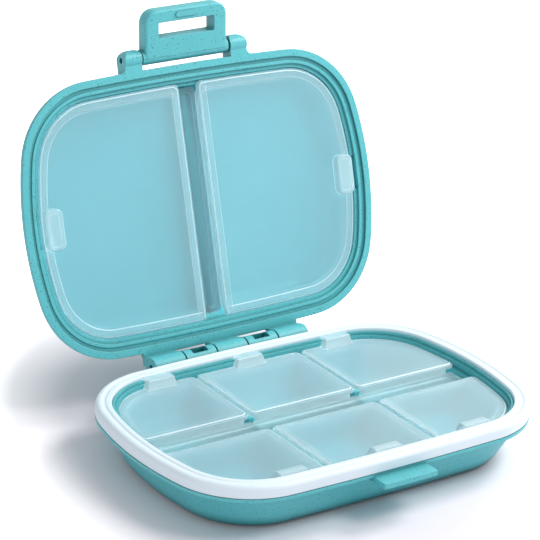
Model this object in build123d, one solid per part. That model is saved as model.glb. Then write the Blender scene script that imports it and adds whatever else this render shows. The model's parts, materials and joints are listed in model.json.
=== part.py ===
"""Travel pill box: a clamshell case with a seal, a swing latch and eight inner lids.

Millimetres. The origin is the centre of the foot, +Z is up and +Y points to the case hinge.
Every piece is drawn with the case shut. The cover and all that it carries then swing open.
"""
import os
from math import hypot, radians, sqrt, tan

from build123d import *

# Case, seen from above
case_width = 118.9
case_depth = 82.0
side_bow = 8.7
front_bow = 1.8
corner_radius = 24.5
foot_corner_radius = 21.5
cover_setback = 0.35

# Base and cover shells
base_height = 13.0
cover_height = 13.4
flange_thickness = 1.3
flange_overhang = 2.4
flange_edge_round = 0.5
wall_draft = 25.0
edge_round = 4.5
base_floor = 2.8
cover_floor = 1.4
pocket_draft = 8.0
pocket_round = 2.5
partition_thickness = 1.6
ledge_width = 1.2

# Seal ring and the stepped rim that it goes round
seal_width = 4.6
seal_foot_chamfer = 0.3
seal_height = 3.8
seal_outer_round = 1.4
seal_inner_round = 0.5
seal_groove_inset = 2.4
seal_groove_radius = 1.0
seal_groove_depth = 0.3
tongue_width = 1.2
tongue_depth = 1.0
seal_fit = 0.1
shut_gap = 0.35
rim_height = 2.8
rim_top_width = 0.7
rim_step_width = 0.6
rim_step_depth = 0.9

# Cover's rim, from its flange inwards
cover_face_width = 2.1
cover_groove_width = 1.1
cover_groove_depth = 0.8
cover_ridge_width = 1.0
cover_ridge_depth = 0.5
cover_ledge_depth = 1.3

# Inner lids, each a plate with a lip below it
lid_thickness = 1.1
lid_edge_round = 0.5
lid_corner_round = 1.6
lid_fit = 0.2
lid_seat_gap = 0.1
lid_spacing = 0.8
lid_hinge_gap = 0.15
lip_inset = 2.4
lip_side_inset = 1.2
lip_wall = 0.9
lip_depth = 1.2
column_pitch = 36.0
base_lid_recess = 1.8
cover_lid_inset = 5.95
cover_lid_recess = 1.2

# Strips that carry the lids and clip over a partition
base_strip_half_width = 4.35
cover_strip_half_width = 3.0
strip_recess = 2.1
strip_thickness = 1.6
strip_corner_round = 0.8
strip_end_gap = 0.7
channel_margin = 1.3
channel_depth = 0.8
channel_round = 0.7
strip_leg_thickness = 1.0
strip_leg_depth = 2.0
strip_leg_fit = 0.1
strip_notch_depth = 0.7

# Hooded finger tabs on the base lids and dished pads on the cover lids
tab_width = 10.0
tab_depth = 4.2
tab_rise = 2.7
tab_side_slope = 0.7
tab_front_slope = 1.0
tab_wall = 0.8
tab_roof = 0.7
tab_overhang = 1.2
tab_round = 0.45
tab_pitch = 30.5
pad_width = 5.8
pad_length = 12.0
pad_rise = 2.1
pad_corner_round = 2.0
pad_edge_round = 0.6
pad_setback = 0.7
dish_margin = 1.3
dish_depth = 0.3
finger_notch_width = 10.0
finger_notch_depth = 1.2

# Case hinge
hinge_offset = 3.4
hinge_rise = 1.0
open_angle = 106.2
knuckle_count = 5
knuckle_radius = 3.1
knuckle_gap = 0.45
hinge_length = 53.4
hinge_pin_radius = 1.0
pin_fit = 0.05
pin_recess = 1.2
knuckle_slot_width = 5.2
knuckle_slot_half_depth = 1.6
knuckle_root = 2.4
hinge_lip = 0.3
web_thickness = 2.6

# Latch, its ears and the catch
latch_offset = 3.1
latch_pivot_height = 2.0
latch_lean = 13.4
latch_half_width = 13.8
latch_reach = 13.8
latch_inner_face = 2.4
latch_outer_face = 2.0
latch_corner_round = 4.0
latch_edge_round = 0.8
latch_barrel_half_width = 14.5
latch_barrel_radius = 2.3
latch_pin_radius = 0.8
window_half_width = 9.4
window_near = 5.6
window_far = 10.1
window_round = 0.3
bead_length = 7.6
bead_width = 1.6
bead_rise = 0.3
bead_reach = 11.9
ear_radius = 2.6
ear_width = 5.7
ear_gap = 0.5
ear_root = 3.0
ear_outer_round = 2.7
ear_inner_round = 1.5
ear_root_round = 1.7
catch_width = 17.5
catch_projection = 5.4
catch_drop = 0.7
catch_thickness = 1.5
catch_corner_round = 0.4

# Cuts run this far past the faces that they open
overrun = 2.0

# Levels and places that follow from the sizes above
half_width = case_width / 2
half_depth = case_depth / 2
side_radius = (half_depth**2 + side_bow**2) / (2 * side_bow)
front_radius = (half_width**2 + front_bow**2) / (2 * front_bow)
wall_run = tan(radians(wall_draft))
pocket_run = tan(radians(pocket_draft))
seat_z = base_height
seal_top_z = seat_z + seal_height
rim_top_z = seat_z + rim_height
cover_rim_z = seal_top_z + shut_gap
cover_top_z = cover_rim_z + cover_height
rim_outer = seal_width + seal_fit
rim_step = rim_outer + rim_top_width
rim_inner = rim_step + rim_step_width
base_lid_inset = rim_inner + lid_fit
base_pocket_inset = rim_inner + ledge_width
base_lid_top_z = rim_top_z - base_lid_recess
base_seat_z = base_lid_top_z - lid_thickness - lid_seat_gap
base_strip_z = base_lid_top_z - strip_recess
cover_recess_inset = cover_lid_inset - lid_fit
cover_pocket_inset = cover_recess_inset + ledge_width
cover_face_z = cover_rim_z + cover_lid_recess
cover_seat_z = cover_face_z + lid_thickness + lid_seat_gap
cover_strip_z = cover_face_z + strip_recess
base_lid_edge = base_strip_half_width + lid_hinge_gap
cover_lid_edge = cover_strip_half_width + lid_hinge_gap
hinge_y = half_depth + hinge_offset
hinge_z = seat_z + hinge_rise
latch_pivot_y = -half_depth - latch_offset
latch_pivot_z = cover_rim_z + latch_pivot_height
catch_top_z = seat_z - catch_drop
ear_inner = latch_barrel_half_width + ear_gap
hinge_axis = Axis((0, hinge_y, hinge_z), (1, 0, 0))
latch_axis = Axis((0, latch_pivot_y, latch_pivot_z), (1, 0, 0))


def outline(inset, corner=None):
    """Plan of the case drawn in by inset: four bowed sides with rounded corners."""
    side = side_radius - inset
    front = front_radius - inset
    side_x = half_width - side_radius
    front_y = half_depth - front_radius
    apart = hypot(side_x, front_y)
    along = (side**2 - front**2 + apart**2) / (2 * apart)
    off = sqrt(side**2 - along**2)
    x = side_x - (along * side_x + off * front_y) / apart
    y = (along * front_y - off * side_x) / apart
    bows = [
        ThreePointArc((x, -y), (half_width - inset, 0), (x, y)),
        ThreePointArc((x, y), (0, half_depth - inset), (-x, y)),
        ThreePointArc((-x, y), (inset - half_width, 0), (-x, -y)),
        ThreePointArc((-x, -y), (0, inset - half_depth), (x, -y)),
    ]
    plan = make_face(bows)
    return fillet(plan.vertices(), corner or corner_radius - inset)


def front_edge(x, inset):
    """How far the front side of the outline lies from the middle at x."""
    return half_depth - front_radius + sqrt((front_radius - inset) ** 2 - x**2)


def slab(inset, low, high):
    """Solid of the outline between two levels."""
    return extrude(Pos(0, 0, low) * outline(inset), high - low)


def ring(outer_inset, inner_inset, low, high):
    """Band that follows the outline between two insets and two levels."""
    band = outline(outer_inset) - outline(inner_inset)
    return extrude(Pos(0, 0, low) * band, high - low)


def block(x_span, y_span, z_span):
    """Box from its lowest and highest corner along each axis."""
    spans = (x_span, y_span, z_span)
    size = [high - low for low, high in spans]
    centre = [(high + low) / 2 for low, high in spans]
    return Pos(*centre) * Box(*size)


def rectangle(x_span, y_span):
    """Flat rectangle from its lowest and highest corner."""
    size = (x_span[1] - x_span[0], y_span[1] - y_span[0])
    return Pos((x_span[0] + x_span[1]) / 2, (y_span[0] + y_span[1]) / 2) * Rectangle(*size)


def mirrored_x(shape):
    """The same piece on the other side of the case's middle."""
    return mirror(shape, Plane.YZ)


def rod(radius, half_length, y, z):
    """Round bar along X, centred on the middle of the case."""
    return Pos(0, y, z) * Rot(0, 90, 0) * Cylinder(radius, 2 * half_length)


def bowl(wide_inset, wide_z, narrow_inset, narrow_z, rounding, narrow_corner=None):
    """Drafted solid of the outline whose narrow end has a rounded edge."""
    wide = Pos(0, 0, wide_z) * outline(wide_inset)
    narrow = Pos(0, 0, narrow_z) * outline(narrow_inset, narrow_corner)
    solid = loft([wide, narrow], ruled=True)
    end_face = solid.faces().filter_by(Axis.Z).sort_by(lambda face: abs(face.center().Z - narrow_z))[0]
    return fillet(end_face.edges(), rounding)


def wall_bowl(edge_inset, rim_z, end_z):
    """Outside of a shell below or above its flange."""
    wide = edge_inset + flange_overhang
    narrow = wide + abs(end_z - rim_z) * wall_run
    return bowl(wide, rim_z, narrow, end_z, edge_round, foot_corner_radius)


def pocket_bowl(inset, seat, floor):
    """Hollow of a shell from the seat of its lids to its floor."""
    narrow = inset + abs(floor - seat) * pocket_run
    return bowl(inset, seat, narrow, floor, pocket_round)


def knuckle_span(index):
    """Ends along X of one knuckle of the case hinge."""
    pitch = hinge_length / knuckle_count
    start = index * pitch - hinge_length / 2
    return start + knuckle_gap / 2, start + pitch - knuckle_gap / 2


def knuckle(index, web_y, web_z):
    """One knuckle with the web that roots it in its shell."""
    low, high = knuckle_span(index)
    barrel = Pos((low + high) / 2, hinge_y, hinge_z) * Rot(0, 90, 0) * Cylinder(knuckle_radius, high - low)
    return barrel + block((low, high), web_y, web_z)


def base_knuckles():
    """The two base knuckles, slotted on top so that the pin snaps in."""
    web_y = (half_depth - knuckle_root, hinge_y)
    web_z = (hinge_z - knuckle_radius, seat_z)
    slot_y = (hinge_y - knuckle_slot_half_depth, hinge_y + knuckle_slot_half_depth)
    pair = []
    for index in range(1, knuckle_count, 2):
        low, high = knuckle_span(index)
        middle = (low + high) / 2
        slot_x = (middle - knuckle_slot_width / 2, middle + knuckle_slot_width / 2)
        slot = block(slot_x, slot_y, (hinge_z, hinge_z + knuckle_radius + overrun))
        pair.append(knuckle(index, web_y, web_z) - slot)
    return pair


def cover_knuckles():
    """The three cover knuckles, hung by webs from a lip along the flange."""
    web_y = (hinge_y - knuckle_radius, hinge_y - knuckle_radius + web_thickness)
    web_z = (hinge_z, cover_rim_z + flange_thickness)
    flange_z = (cover_rim_z, cover_rim_z + flange_thickness)
    root_y = half_depth - knuckle_root
    lip = block((-hinge_length / 2, hinge_length / 2), (root_y, half_depth + hinge_lip), flange_z)
    pieces = [lip]
    for index in range(0, knuckle_count, 2):
        pieces.append(knuckle(index, web_y, web_z) + block(knuckle_span(index), (root_y, web_y[1]), flange_z))
    return pieces


def catch():
    """Tab on the front flange that the latch's window drops over."""
    plan_y = (-half_depth - catch_projection, -half_depth + knuckle_root)
    tab_z = (catch_top_z - catch_thickness, catch_top_z)
    tab = block((-catch_width / 2, catch_width / 2), plan_y, tab_z)
    front_corners = tab.edges().filter_by(Axis.Z).sort_by(Axis.Y)[:2]
    return fillet(front_corners, catch_corner_round)


def base_shell():
    """Tray with six pockets, a seat for the seal, two knuckles and the catch."""
    shell = wall_bowl(0, seat_z - flange_thickness, 0)
    flange = slab(0, seat_z - flange_thickness, seat_z)
    shell += fillet(flange.faces().sort_by(Axis.Z)[0].edges(), flange_edge_round)
    shell += slab(rim_outer, base_seat_z - flange_thickness, rim_top_z)
    shell -= slab(rim_step, rim_top_z - rim_step_depth, rim_top_z + overrun)
    shell -= slab(rim_inner, base_seat_z, rim_top_z + overrun)
    pocket = pocket_bowl(base_pocket_inset, base_seat_z, base_floor)
    half_wall = partition_thickness / 2
    strip_bottom = base_strip_z - strip_thickness
    walls = block((-half_width, half_width), (-half_wall, half_wall), (0, strip_bottom))
    for side in (-1, 1):
        wall_x = side * column_pitch / 2
        walls += block((wall_x - half_wall, wall_x + half_wall), (-half_depth, half_depth), (0, base_seat_z))
    walls -= block((-half_width, half_width), (-base_lid_edge, base_lid_edge), (strip_bottom, rim_top_z))
    shell -= pocket - walls
    groove_inset = rim_outer - tongue_width - 2 * seal_fit
    shell -= ring(groove_inset, rim_outer, seat_z - tongue_depth - seal_fit, seat_z)
    for piece in base_knuckles() + [catch()]:
        shell += piece
    return shell - rod(hinge_pin_radius + pin_fit, hinge_length, hinge_y, hinge_z)


def base_seal():
    """Silicone ring with a soft hollow along its top and a tongue below."""
    body = ring(0, seal_width, seat_z, seal_top_z)
    foot = body.faces().sort_by(Axis.Z)[0]
    body = chamfer(foot.outer_wire().edges(), seal_foot_chamfer)
    top = body.faces().sort_by(Axis.Z)[-1]
    body = fillet(top.outer_wire().edges(), seal_outer_round)
    top = body.faces().sort_by(Axis.Z)[-1]
    body = fillet(top.inner_wires()[0].edges(), seal_inner_round)
    lift = seal_top_z + seal_groove_radius - seal_groove_depth
    path = (Pos(0, 0, lift) * outline(seal_groove_inset)).face().outer_wire()
    start = Plane(origin=path @ 0, z_dir=path % 0)
    body -= sweep(start * Circle(seal_groove_radius), path=path)
    tongue_outer = seal_width - tongue_width
    return body + ring(tongue_outer, seal_width, seat_z - tongue_depth, seat_z)


def on_border(value, span):
    """True where a value lies on one end of a span."""
    return min(abs(value - span[0]), abs(value - span[1])) < lid_hinge_gap / 2


def lid_plan(inset, x_span, y_span, rounding):
    """Plan of a lid: the outline cut to a rectangle, with the sharp corners rounded."""
    plan = outline(inset) & rectangle(x_span, y_span)
    corners = [v for v in plan.vertices() if on_border(v.X, x_span) or on_border(v.Y, y_span)]
    return fillet(corners, rounding)


def lid(inset, x_span, y_span, side_inset):
    """Lid facing up, drawn with its top on the XY plane and its lip below."""
    plate = extrude(lid_plan(inset, x_span, y_span, lid_corner_round), -lid_thickness)
    plate = fillet(plate.faces().sort_by(Axis.Z)[-1].edges(), lid_edge_round)
    outer_x = (x_span[0] + side_inset, x_span[1] - side_inset)
    inner_x = (outer_x[0] + lip_wall, outer_x[1] - lip_wall)
    inner_y = (y_span[0] + lip_wall, y_span[1] - lip_wall)
    lip = lid_plan(inset + lip_inset, outer_x, y_span, lid_corner_round)
    lip -= lid_plan(inset + lip_inset + lip_wall, inner_x, inner_y, lid_corner_round - lip_wall)
    return plate + extrude(Pos(0, 0, -lid_thickness) * lip, -lip_depth)


def finger_tab():
    """Drafted hood on the XY plane whose open side faces +Y and lies on the XZ plane."""
    top_width = tab_width - 2 * tab_side_slope
    top_depth = tab_depth - tab_front_slope
    foot = Pos(0, -tab_depth / 2) * Rectangle(tab_width, tab_depth)
    roof = Pos(0, -top_depth / 2, tab_rise) * Rectangle(top_width, top_depth)
    hood = loft([foot, roof], ruled=True)
    shown = [e for e in hood.edges() if e.center().Z > tab_round and e.center().Y < -tab_round]
    hood = fillet(shown, tab_round)
    hollow_x = (tab_wall - top_width / 2, top_width / 2 - tab_wall)
    hood -= block(hollow_x, (tab_wall - top_depth, overrun), (0, tab_rise - tab_roof))
    clear_y = (-tab_overhang - lid_edge_round, overrun)
    return hood - block((-tab_width, tab_width), clear_y, (0, tab_rise - tab_roof))


def base_lid(x_low, x_high, tab_x):
    """One lid of the back row, hinged at the strip, with its tab at the back."""
    panel = lid(base_lid_inset, (x_low, x_high), (base_lid_edge, half_depth), lip_side_inset)
    tab_y = front_edge(tab_x, base_lid_inset) + tab_overhang
    panel += Pos(tab_x, tab_y) * finger_tab()
    return Pos(0, 0, base_lid_top_z) * panel


def thumb_pad():
    """Rounded pad with a dished top, standing on the XY plane."""
    pad = extrude(RectangleRounded(pad_width, pad_length, pad_corner_round), pad_rise)
    pad = fillet(pad.faces().sort_by(Axis.Z)[-1].edges(), pad_edge_round)
    dish_size = (pad_width - 2 * dish_margin, pad_length - 2 * dish_margin)
    dish = RectangleRounded(*dish_size, pad_corner_round - dish_margin)
    return pad - extrude(Pos(0, 0, pad_rise - dish_depth) * dish, overrun)


def cover_lid():
    """Right lid of the cover, hinged at the strip, with its pad at the outer edge."""
    panel = lid(cover_lid_inset, (cover_lid_edge, half_width), (-half_depth, half_depth), 0)
    pad_x = half_width - cover_lid_inset - pad_setback - pad_width / 2
    panel += Pos(pad_x, 0) * thumb_pad()
    return Pos(0, 0, cover_face_z) * mirror(panel, Plane.XY)


def strip(half_length, half_strip, leg_half_length):
    """Strip along X with a rounded channel, drawn with its top on the XY plane and its legs below."""
    bar = extrude(RectangleRounded(2 * half_length, 2 * half_strip, strip_corner_round), -strip_thickness)
    plan = SlotOverall(2 * (half_length - channel_margin), 2 * (half_strip - channel_margin))
    channel = extrude(Pos(0, 0, -channel_depth) * plan, channel_depth + overrun)
    bar -= fillet(channel.faces().sort_by(Axis.Z)[0].edges(), channel_round)
    leg_near = partition_thickness / 2 + strip_leg_fit
    leg_z = (-strip_thickness - strip_leg_depth, -strip_thickness)
    for side in (-1, 1):
        leg_y = sorted((side * leg_near, side * (leg_near + strip_leg_thickness)))
        bar += block((-leg_half_length, leg_half_length), leg_y, leg_z)
    return bar


def base_lid_strip():
    """Strip of the base, with a notch on each edge where two lids meet."""
    leg_half_length = (column_pitch - partition_thickness) / 2 - strip_leg_fit
    bar = strip(half_width - base_pocket_inset - strip_end_gap, base_strip_half_width, leg_half_length)
    for side in (-1, 1):
        notch_x = side * column_pitch / 2
        span = (notch_x - lid_spacing / 2, notch_x + lid_spacing / 2)
        for edge in (-1, 1):
            far = edge * (base_strip_half_width + overrun)
            notch_y = sorted((far, edge * (base_strip_half_width - strip_notch_depth)))
            bar -= block(span, notch_y, (-strip_thickness - overrun, overrun))
    return Pos(0, 0, base_strip_z) * bar


def cover_lid_strip():
    """Strip of the cover: turned along Y and facing down when the case is shut."""
    leg_half_length = half_depth - cover_pocket_inset - pocket_round
    bar = strip(half_depth - cover_pocket_inset - strip_end_gap, cover_strip_half_width, leg_half_length)
    return Pos(0, 0, cover_strip_z) * Rot(180, 0, 90) * bar


def ear():
    """Right ear that holds the latch's pin, rooted in the cover's front rim."""
    span = (ear_inner, ear_inner + ear_width)
    edge_y = -front_edge(span[1], cover_setback)
    root_y = edge_y + ear_root
    plan = rectangle(span, (latch_pivot_y - ear_radius, root_y))
    inner_tip, outer_tip = plan.vertices().group_by(Axis.Y)[0].sort_by(Axis.X)
    plan = fillet(outer_tip, ear_outer_round)
    inner_tip = plan.vertices().sort_by_distance(inner_tip)[0]
    plan = fillet(inner_tip, ear_inner_round)
    barrel = Pos(0, latch_pivot_y, latch_pivot_z) * Rot(0, 90, 0) * Cylinder(ear_radius, case_width)
    low, high = latch_pivot_z - ear_radius, latch_pivot_z + ear_radius
    profile = barrel + block((0, half_width), (latch_pivot_y, root_y), (cover_rim_z, high))
    lug = extrude(Pos(0, 0, low) * plan, high - low) & profile
    wide = (span[0], span[1] + ear_root)
    root = rectangle(span, (latch_pivot_y, root_y)) + rectangle(wide, (edge_y, root_y))
    bend = root.vertices().sort_by_distance((span[1], edge_y, 0))[0]
    root = fillet(bend, ear_root_round)
    return lug + extrude(Pos(0, 0, cover_rim_z) * root, flange_thickness)


def cover_shell():
    """Cover with two pockets, a stepped rim, three knuckles and two ears."""
    shell = wall_bowl(cover_setback, cover_rim_z + flange_thickness, cover_top_z)
    shell += slab(cover_setback, cover_rim_z, cover_rim_z + flange_thickness)
    for piece in cover_knuckles() + [ear(), mirrored_x(ear())]:
        shell += piece
    groove = cover_setback + cover_face_width
    ridge = groove + cover_groove_width
    ledge = ridge + cover_ridge_width
    below = cover_rim_z - overrun
    shell -= ring(groove, ridge, below, cover_rim_z + cover_groove_depth)
    shell -= slab(ridge, below, cover_rim_z + cover_ridge_depth)
    shell -= slab(ledge, below, cover_rim_z + cover_ledge_depth)
    shell -= slab(cover_recess_inset, below, cover_seat_z)
    notch_x = half_width - cover_recess_inset
    notch_y = (-finger_notch_width / 2, finger_notch_width / 2)
    notch = block((notch_x - overrun, notch_x + finger_notch_depth), notch_y, (below, cover_seat_z))
    shell -= notch + mirrored_x(notch)
    pocket = pocket_bowl(cover_pocket_inset, cover_seat_z, cover_top_z - cover_floor)
    half_wall = partition_thickness / 2
    wall_z = (cover_strip_z + strip_thickness, cover_top_z)
    pocket -= block((-half_wall, half_wall), (-half_depth, half_depth), wall_z)
    shell -= pocket
    shell -= rod(hinge_pin_radius + pin_fit, hinge_length, hinge_y, hinge_z)
    return shell - rod(latch_pin_radius + pin_fit, half_width, latch_pivot_y, latch_pivot_z)


def latch():
    """Swing plate with a window, drawn level with the cover's rim and pointing to the front."""
    tip_y = latch_pivot_y - latch_reach
    faces = (latch_pivot_z - latch_inner_face, latch_pivot_z + latch_outer_face)
    plate = block((-latch_half_width, latch_half_width), (tip_y, latch_pivot_y), faces)
    plate = fillet(plate.edges().filter_by(Axis.Z).group_by(Axis.Y)[0], latch_corner_round)
    tip_face_edges = plate.faces().filter_by(Axis.Z).edges().filter_by(lambda e: e.center().Y < latch_pivot_y)
    plate = fillet(tip_face_edges, latch_edge_round)
    plate += rod(latch_barrel_radius, latch_barrel_half_width, latch_pivot_y, latch_pivot_z)
    window_size = (2 * window_half_width, window_far - window_near)
    window_y = latch_pivot_y - (window_near + window_far) / 2
    window = Pos(0, window_y, faces[0] - overrun) * RectangleRounded(*window_size, window_round)
    plate -= extrude(window, faces[1] - faces[0] + 2 * overrun)
    bead = Pos(0, latch_pivot_y - bead_reach, faces[0] - bead_rise) * SlotOverall(bead_length, bead_width)
    plate += extrude(bead, 2 * bead_rise)
    return plate - rod(latch_pin_radius + pin_fit, half_width, latch_pivot_y, latch_pivot_z)


def opened(shape):
    """A piece of the cover swung from shut to open."""
    return shape.rotate(hinge_axis, -open_angle)


side_low = column_pitch / 2 + lid_spacing / 2
middle_high = column_pitch / 2 - lid_spacing / 2
back_right = base_lid(side_low, half_width, tab_pitch)
back_middle = base_lid(-middle_high, middle_high, 0)
right_lid = cover_lid()
latch_pin = rod(latch_pin_radius, ear_inner + ear_width - pin_recess, latch_pivot_y, latch_pivot_z)
pieces = {
    "base_shell": base_shell(),
    "base_seal": base_seal(),
    "base_lid_strip": base_lid_strip(),
    "base_lid_back_left": mirrored_x(back_right),
    "base_lid_back_middle": back_middle,
    "base_lid_back_right": back_right,
    "base_lid_front_left": mirror(mirrored_x(back_right), Plane.XZ),
    "base_lid_front_middle": mirror(back_middle, Plane.XZ),
    "base_lid_front_right": mirror(back_right, Plane.XZ),
    "case_hinge_pin": rod(hinge_pin_radius, hinge_length / 2 - pin_recess, hinge_y, hinge_z),
    "cover_shell": opened(cover_shell()),
    "cover_lid_strip": opened(cover_lid_strip()),
    "cover_lid_left": opened(mirrored_x(right_lid)),
    "cover_lid_right": opened(right_lid),
    "latch": opened(latch().rotate(latch_axis, latch_lean)),
    "latch_pin": opened(latch_pin),
}

os.makedirs("parts", exist_ok=True)
for name, piece in pieces.items():
    export_step(piece, f"parts/{name}.step")
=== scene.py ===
"""Dress the travel pill box: speckled case plastic, frosted lids and a silicone seal.

The solids' meshes keep their shape. The lids get raised borders, and the cover's corners get plugs.
Lengths are in metres.
"""
import json
from math import cos, radians, sin

import bmesh
import bpy
from mathutils import Matrix, Vector
from mathutils.geometry import convex_hull_2d


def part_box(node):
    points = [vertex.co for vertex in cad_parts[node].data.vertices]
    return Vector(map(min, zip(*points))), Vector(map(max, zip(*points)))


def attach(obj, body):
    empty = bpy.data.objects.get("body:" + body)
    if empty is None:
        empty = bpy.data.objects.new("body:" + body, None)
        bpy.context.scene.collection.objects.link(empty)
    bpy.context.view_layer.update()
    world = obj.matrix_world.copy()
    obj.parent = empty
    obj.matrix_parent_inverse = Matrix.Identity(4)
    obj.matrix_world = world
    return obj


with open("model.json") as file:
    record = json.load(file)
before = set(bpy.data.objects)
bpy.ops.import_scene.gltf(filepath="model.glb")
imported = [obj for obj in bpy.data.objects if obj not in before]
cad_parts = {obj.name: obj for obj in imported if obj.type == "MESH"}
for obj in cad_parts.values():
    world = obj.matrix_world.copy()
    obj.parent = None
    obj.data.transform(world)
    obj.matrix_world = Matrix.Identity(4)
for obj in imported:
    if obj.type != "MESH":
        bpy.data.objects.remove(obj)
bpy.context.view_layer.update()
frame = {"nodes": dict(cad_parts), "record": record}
nodes = frame["nodes"]
scene = bpy.context.scene

open_angle = radians(106.2)
base_face = Vector((0.0, 0.0, 1.0))
cover_face = Vector((0.0, -sin(open_angle), -cos(open_angle)))
mm_per_m = 1000.0
# Painted highlight colour for the lids' rounded edges and for the edge and step rings of their borders.
edge_highlight_white = (0.84, 0.93, 0.95, 1.0)
case_rounding = 0.0004
lid_edge_width = 0.0004
border_seat, border_rise = 0.00005, 0.0002
border_weld = 0.0011
flat_alignment, same_level = 0.999, 1e-5
plug_reach, plug_rise = 0.0058, 0.00004
plug_weld = 1e-6
knife_angle, crease_angle = radians(140.0), radians(30.0)
skin_alignment = 0.3
floor_drop, floor_half_width = 0.0002, 3.0
shade_middle = (-0.006, -0.010)
shade_half_width, shade_behind, shade_before = 0.077, 0.134, 0.088


class Tap:
    """One value in a finish's node tree, so that shader maths reads as Python."""

    def __init__(self, finish, socket):
        self.finish = finish
        self.socket = socket

    def maths(self, operation, first, second):
        return self.finish.node("ShaderNodeMath", {"operation": operation}, {0: first, 1: second}).out()

    def __add__(self, other):
        return self.maths("ADD", self, other)

    __radd__ = __add__

    def __mul__(self, other):
        return self.maths("MULTIPLY", self, other)

    __rmul__ = __mul__

    def __sub__(self, other):
        return self.maths("SUBTRACT", self, other)

    def __rsub__(self, other):
        return self.maths("SUBTRACT", other, self)

    def larger(self, other):
        return self.maths("MAXIMUM", self, other)


class Made:
    """A node that has been added to a finish."""

    def __init__(self, finish, node):
        self.finish = finish
        self.node = node

    def out(self, name=0):
        return Tap(self.finish, self.node.outputs[name])


class Finish:
    """A material, or the world, built from nodes."""

    def __init__(self, name):
        self.take(bpy.data.materials.new(name))

    @classmethod
    def over(cls, owner):
        finish = cls.__new__(cls)
        finish.take(owner)
        return finish

    def take(self, owner):
        self.owner = owner
        self.owner.use_nodes = True
        self.tree = owner.node_tree
        self.tree.nodes.clear()

    def node(self, kind, settings=None, inputs=None):
        node = self.tree.nodes.new(kind)
        for key, value in (settings or {}).items():
            if key == "stops":
                ramp = node.color_ramp
                while len(ramp.elements) < len(value):
                    ramp.elements.new(0.5)
                for element, (place, colour) in zip(ramp.elements, value):
                    element.position = place
                    element.color = colour
            else:
                setattr(node, key, value)
        for key, value in (inputs or {}).items():
            if isinstance(value, Tap):
                self.tree.links.new(value.socket, node.inputs[key])
            else:
                node.inputs[key].default_value = value
        return Made(self, node)

    def object_space(self):
        return self.node("ShaderNodeTexCoord").out("Object")

    def noise(self, scale, detail=2.0):
        inputs = {"Vector": self.object_space(), "Scale": scale, "Detail": detail}
        return self.node("ShaderNodeTexNoise", None, inputs).out("Fac")

    def ramp(self, value, stops):
        greys = [(place, grey(level)) for place, level in stops]
        return self.node("ShaderNodeValToRGB", {"stops": greys}, {"Fac": value}).out("Color")

    def mix(self, factor, first, second):
        made = self.node("ShaderNodeMix", {"data_type": "RGBA"}, {"Factor": factor, 6: first, 7: second})
        return made.out(2)

    def vector(self, operation, first, second=(0.0, 0.0, 0.0), name="Vector"):
        made = self.node("ShaderNodeVectorMath", {"operation": operation}, {0: first, 1: second})
        return made.out(name)

    def rounded_edges(self, radius):
        return self.node("ShaderNodeBevel", {"samples": 6}, {"Radius": radius}).out()

    def bump(self, height, strength, distance, **inputs):
        inputs.update({"Height": height, "Strength": strength, "Distance": distance})
        return self.node("ShaderNodeBump", None, inputs).out("Normal")

    def edge_mask(self, radius):
        true_normal = self.node("ShaderNodeNewGeometry").out("Normal")
        alike = self.vector("DOT_PRODUCT", self.rounded_edges(radius), true_normal, "Value")
        return self.ramp(alike, [(0.85, 1.0), (0.97, 0.0)])

    def in_view(self):
        """1 for rays from the camera, mirrored rays and rays through clear plastic."""
        path = self.node("ShaderNodeLightPath")
        return path.out("Is Camera Ray") + path.out("Is Glossy Ray") + path.out("Is Transmission Ray")

    def principled(self, **inputs):
        named = {key.replace("_", " "): value for key, value in inputs.items()}
        return self.node("ShaderNodeBsdfPrincipled", None, named).out()

    def surface(self, shader, output="ShaderNodeOutputMaterial"):
        self.node(output, None, {"Surface": shader})
        return self.owner


def grey(level):
    return (level, level, level, 1.0)


def tinted(colour, red, green, blue):
    return (red * colour[0], green * colour[1], blue * colour[2], 1.0)


def case_plastic(name, edge_round):
    """Teal plastic with sparse dark flecks, a few faint pale ones and painted shade in its creases and gaps.
    """
    finish = Finish(name)
    base = finish.mix(finish.noise(60.0, detail=3.0), (0.090, 0.460, 0.500, 1.0), (0.108, 0.505, 0.545, 1.0))
    dark = finish.ramp(finish.noise(1750.0, detail=1.0), [(0.660, 0.0), (0.705, 0.9)])
    pale = finish.ramp(finish.noise(2300.0, detail=1.0), [(0.68, 0.0), (0.76, 0.45)])
    flecked = finish.mix(pale, base, (0.320, 0.740, 0.760, 1.0))
    flecked = finish.mix(dark, flecked, (0.035, 0.240, 0.270, 1.0))
    # Painted shade: ambient occlusion darkens the colour towards a dark teal in creases, grooves and gaps.
    occlusion_shade = finish.node("ShaderNodeAmbientOcclusion", {"samples": 6}, {"Distance": 0.005}).out("AO")
    unshaded_share = finish.ramp(occlusion_shade, [(0.38, 0.0), (0.88, 1.0)])
    shaded = finish.mix(unshaded_share, (0.014, 0.190, 0.210, 1.0), flecked)
    rounding = {"Normal": finish.rounded_edges(edge_round)} if edge_round else {}
    grain = finish.bump(finish.noise(3200.0), strength=0.10, distance=0.0002, **rounding)
    return finish.surface(finish.principled(
        Base_Color=shaded, Roughness=0.40 + finish.noise(300.0) * 0.10, Normal=grain))


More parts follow.
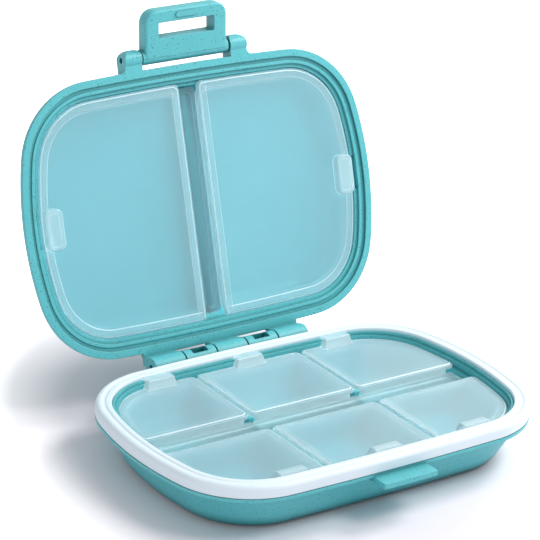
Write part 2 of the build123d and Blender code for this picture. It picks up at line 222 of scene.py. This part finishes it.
def lid_plastic(name, facing, level, shade, clearness, top_roughness, edge_highlight_share):
    """Plastic with a clear top, a frosted underside, milky tabs and sides, and a painted highlight on its
    edges.
    """
    finish = Finish(name)
    cloud = finish.mix(finish.noise(40.0), shade, tinted(shade, 1.08, 1.06, 1.05))
    normal = finish.node("ShaderNodeTexCoord").out("Normal")
    upward = finish.vector("DOT_PRODUCT", normal, facing, "Value") * 0.5 + 0.5
    frosting = finish.ramp(upward, [(0.70, 0.50), (0.95, top_roughness)])
    grain = finish.bump(finish.noise(4000.0), strength=0.06, distance=0.0001)
    clear = finish.principled(Base_Color=cloud, Roughness=frosting, IOR=1.30, Transmission_Weight=clearness,
                              Normal=grain)
    white = finish.principled(Base_Color=edge_highlight_white, Roughness=0.25, Transmission_Weight=0.3)
    height = finish.vector("DOT_PRODUCT", finish.object_space(), facing, "Value")
    tab = finish.ramp((height - level) * mm_per_m, [(0.15, 0.0), (0.30, 0.32)])
    sides = finish.ramp(upward, [(0.30, 0.0), (0.42, 0.50), (0.58, 0.50), (0.70, 0.0)])
    # Painted highlight: the rounded edges are mixed towards the white finish.
    edges = finish.edge_mask(lid_edge_width) * edge_highlight_share
    milk_and_highlight = tab.larger(sides).larger(edges)
    return finish.surface(finish.node("ShaderNodeMixShader", None, {0: milk_and_highlight, 1: clear, 2: white}).out())


def border_plastic(name, tone, cover):
    """Milky plastic of the lids' raised borders, which covers part of what is under it."""
    finish = Finish(name)
    milk = finish.mix(finish.noise(120.0), tinted(tone, 0.94, 0.94, 0.94), tone)
    return finish.surface(finish.principled(
        Base_Color=milk, Roughness=0.28 + finish.noise(300.0) * 0.08, Alpha=cover))


def seal_silicone():
    """White silicone with a soft matte face."""
    finish = Finish("seal_silicone")
    tone = finish.mix(finish.noise(90.0, detail=3.0), (0.74, 0.84, 0.90, 1.0), (0.77, 0.87, 0.93, 1.0))
    grain = finish.bump(finish.noise(2500.0), strength=0.05, distance=0.0001)
    return finish.surface(finish.principled(
        Base_Color=tone, Roughness=0.50 + finish.noise(400.0) * 0.10, Normal=grain))


def top_corners(node, facing):
    """Points of a lid's widest face, the one that it shows when shut."""
    mesh = nodes[node].data
    flat = [face for face in mesh.polygons if face.normal.dot(facing) > flat_alignment]
    level = max(flat, key=lambda face: face.area).center.dot(facing)
    top = [face for face in flat if abs(face.center.dot(facing) - level) < same_level]
    return [mesh.vertices[corner].co.copy() for face in top for corner in face.vertices]


faces = {"base": base_face, "cover": cover_face}
levels = {"base": top_corners("base_lid_front_middle", base_face)[0].dot(base_face),
          "cover": top_corners("cover_lid_left", cover_face)[0].dot(cover_face)}
lid_kinds = {"lid": {"clearness": 0.65, "top_roughness": 0.18, "edge_highlight_share": 0.8},
             "strip": {"clearness": 0.78, "top_roughness": 0.35, "edge_highlight_share": 0.2}}
# The cover's strip is darker than the base's: painted shade of its shadowed channel.
lid_shades = {("base", "lid"): (0.48, 0.65, 0.70, 1.0), ("cover", "lid"): (0.39, 0.65, 0.71, 1.0),
              ("base", "strip"): (0.48, 0.66, 0.70, 1.0), ("cover", "strip"): (0.28, 0.45, 0.50, 1.0)}
lid_looks = {}
for (side, kind), shade in lid_shades.items():
    lid_looks[side, kind] = lid_plastic(f"{side}_{kind}_plastic", faces[side], levels[side], shade,
                                        **lid_kinds[kind])
finishes = {"case_plastic": case_plastic("case_plastic", case_rounding), "seal_silicone": seal_silicone()}

border_top, border_edge, border_step = range(3)
# The edge and step rings carry painted white highlight lines; the top ring is a milky band.
border_looks = [border_plastic("lid_border", (0.62, 0.75, 0.78, 1.0), cover=0.13),
                border_plastic("lid_border_edge", edge_highlight_white, cover=0.65),
                border_plastic("lid_border_step", edge_highlight_white, cover=0.35)]
border_lift = border_seat + border_rise
# Each ring of a border, from outside to inside: its width, its rise and its look.
border_rings = {
    "base": [(0.00040, border_lift, border_edge), (0.0020, -border_lift, border_top)],
    "cover": [(0.00035, border_lift, border_edge), (0.0017, 0.0, border_top),
              (0.00035, -border_lift, border_step)],
}


def add_piece(name, bm, looks):
    """Object of the scene from a finished bmesh."""
    mesh = bpy.data.meshes.new(name)
    bm.to_mesh(mesh)
    bm.free()
    for look in looks:
        mesh.materials.append(look)
    piece = bpy.data.objects.new(name, mesh)
    scene.collection.objects.link(piece)
    return piece


def add_border(node, body, facing, rings):
    """Thin raised border along the outline of a lid's top face."""
    corners = top_corners(node, facing)
    across = facing.cross(Vector((1.0, 0.0, 0.0)))
    outline = convex_hull_2d([(corner.x, corner.dot(across)) for corner in corners])
    bm = bmesh.new()
    bm.faces.new([bm.verts.new(corners[index] - facing * border_seat) for index in outline])
    bmesh.ops.remove_doubles(bm, verts=bm.verts, dist=border_weld)
    bm.normal_update()
    plate = bm.faces[:][0]
    if plate.normal.dot(facing) < 0.0:
        plate.normal_flip()
    for width, rise, look in rings:
        ring = bmesh.ops.inset_region(bm, faces=[plate], thickness=width, depth=rise,
                                      use_boundary=True, use_even_offset=True)
        for face in ring["faces"]:
            face.material_index = look
    bmesh.ops.delete(bm, geom=[plate], context="FACES_ONLY")
    open_edges = [edge for edge in bm.edges if len(edge.link_faces) == 1]
    for face in bmesh.ops.bridge_loops(bm, edges=open_edges)["faces"]:
        face.material_index = border_top
    bmesh.ops.recalc_face_normals(bm, faces=bm.faces)
    piece = add_piece(node + "_border", bm, border_looks)
    piece.visible_shadow = False
    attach(piece, body)


def dress_pieces():
    """Give each solid its finish, and each lid its border."""
    for part in frame["record"]["subparts"]:
        node, slot = part["node"], part["material_slot"]
        piece = nodes[node]
        piece.data.materials.clear()
        if slot != "lid_plastic":
            piece.data.materials.append(finishes[slot])
            continue
        side = "cover" if node.startswith("cover") else "base"
        kind = "strip" if node.endswith("strip") else "lid"
        piece.data.materials.append(lid_looks[side, kind])
        piece.visible_shadow = False
        if kind == "lid":
            add_border(node, node, faces[side], border_rings[side])


def close_cover_corners():
    """Plugs at the cover's corners, where the pockets' rounded floors come through its outside."""
    shell = bmesh.new()
    shell.from_mesh(nodes["cover_shell"].data)
    bmesh.ops.remove_doubles(shell, verts=shell.verts, dist=plug_weld)
    knife_edges = [edge for edge in shell.edges if edge.calc_face_angle(0.0) > knife_angle]
    low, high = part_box("cover_shell")
    middle = (Vector(low) + Vector(high)) / 2
    bm = bmesh.new()
    for right, upper in ((False, False), (False, True), (True, False), (True, True)):
        slot_rim = [edge for edge in knife_edges if (edge.verts[0].co.x > middle.x) == right
                    and (edge.verts[0].co.z > middle.z) == upper]
        centre = sum((edge.verts[0].co for edge in slot_rim), Vector()) / len(slot_rim)
        normals = [face.normal for edge in slot_rim for face in edge.link_faces]
        outer = [normal for normal in normals if normal.dot(centre - middle) > 0.0]
        outward = sum(outer, Vector()).normalized()
        near = [corner for corner in shell.verts if (corner.co - centre).length < plug_reach]
        skin = [corner for corner in near
                if any(face.normal.dot(outward) > skin_alignment for face in corner.link_faces)]
        plug = [bm.verts.new(corner.co + outward * plug_rise) for corner in skin]
        hull = bmesh.ops.convex_hull(bm, input=plug)
        inside = hull["geom_interior"] + hull["geom_unused"]
        bmesh.ops.delete(bm, geom=[corner for corner in plug if corner in inside], context="VERTS")
    shell.free()
    bmesh.ops.recalc_face_normals(bm, faces=bm.faces)
    for face in bm.faces:
        face.smooth = True
    for edge in bm.edges:
        edge.smooth = edge.calc_face_angle(0.0) < crease_angle
    plugs = add_piece("cover_corner_plugs", bm, [case_plastic("cover_corner_plastic", 0.0)])
    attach(plugs, "cover")


def place_camera():
    """Camera at the photograph's viewing angle."""
    azimuth, elevation, roll = radians(-34.38), radians(22.03), radians(2.28)
    aim, distance = Vector((0.01984, 0.05358, 0.0325)), 0.7665
    back = Vector((sin(azimuth) * cos(elevation), -cos(azimuth) * cos(elevation), sin(elevation)))
    right = Vector((cos(azimuth), sin(azimuth), 0.0))
    up = back.cross(right)
    across = right * cos(roll) + up * sin(roll)
    upward = up * cos(roll) - right * sin(roll)
    turn = Matrix((across, upward, back)).transposed().to_4x4()
    camera = bpy.data.objects.new("camera", bpy.data.cameras.new("camera"))
    scene.collection.objects.link(camera)
    camera.matrix_world = Matrix.Translation(aim + back * distance) @ turn
    camera.data.sensor_width = 36.0
    camera.data.lens = 171.7
    camera.data.clip_start = 0.01
    scene.camera = camera


def floor_finish():
    """Matte floor with a painted glow that turns it to plain white outside an oval round the box."""
    finish = Finish("floor")
    to_middle = (-shade_middle[0], -shade_middle[1], 0.0)
    from_middle = finish.vector("ADD", finish.object_space(), to_middle)
    behind = finish.vector("MULTIPLY", from_middle, (1.0 / shade_half_width, 1.0 / shade_behind, 0.0))
    before = finish.vector("MULTIPLY", from_middle, (1.0 / shade_half_width, -1.0 / shade_before, 0.0))
    away = finish.vector("LENGTH", finish.vector("MAXIMUM", behind, before), name="Value")
    # Painted light: the glow lifts the floor to white beyond the oval and paints out the shadows there.
    lift = finish.ramp(away, [(0.55, 0.0), (0.74, 0.07), (0.90, 0.40), (1.0, 1.0)])
    matte = finish.node("ShaderNodeBsdfDiffuse", None, {"Color": (0.84, 0.795, 0.84, 1.0)}).out()
    glow = finish.node("ShaderNodeEmission", None, {"Color": lift, "Strength": finish.in_view()}).out()
    return finish.surface(finish.node("ShaderNodeAddShader", None, {0: matte, 1: glow}).out())


def lay_floor():
    """White floor that keeps the soft shadow near the box."""
    bm = bmesh.new()
    below = Matrix.Translation((0.0, 0.0, -floor_drop))
    bmesh.ops.create_grid(bm, x_segments=1, y_segments=1, size=floor_half_width, matrix=below)
    floor = add_piece("floor", bm, [floor_finish()])


def lamp(name, place, aim, size, power):
    """Soft square lamp at a place, turned to a point."""
    light = bpy.data.lights.new(name, "AREA")
    light.shape = "SQUARE"
    light.size = size
    light.energy = power
    lit = bpy.data.objects.new(name, light)
    lit.location = place
    lit.rotation_euler = (Vector(aim) - Vector(place)).to_track_quat("-Z", "Y").to_euler()
    scene.collection.objects.link(lit)


def hang_lights():
    """Plain soft studio light, with a white world behind the box."""
    lamp("key_lamp", place=(0.40, -0.02, 0.40), aim=(0.0, 0.03, 0.03), size=0.18, power=1.7)
    lamp("front_lamp", place=(0.24, -0.28, 0.50), aim=(0.0, 0.03, 0.05), size=0.25, power=1.6)
    lamp("left_lamp", place=(-0.45, -0.30, 0.20), aim=(0.0, 0.03, 0.03), size=0.40, power=0.55)
    scene.world = bpy.data.worlds.new("studio")
    studio = Finish.over(scene.world)
    fill = studio.node("ShaderNodeBackground", None, {"Color": (0.92, 0.97, 1.0, 1.0), "Strength": 0.46}).out()
    white = studio.node("ShaderNodeBackground", None, {"Color": grey(1.0), "Strength": 1.0}).out()
    both = studio.node("ShaderNodeMixShader", None, {0: studio.in_view(), 1: fill, 2: white}).out()
    studio.surface(both, output="ShaderNodeOutputWorld")


scene.view_settings.view_transform = "Standard"
dress_pieces()
close_cover_corners()
place_camera()
lay_floor()
hang_lights()
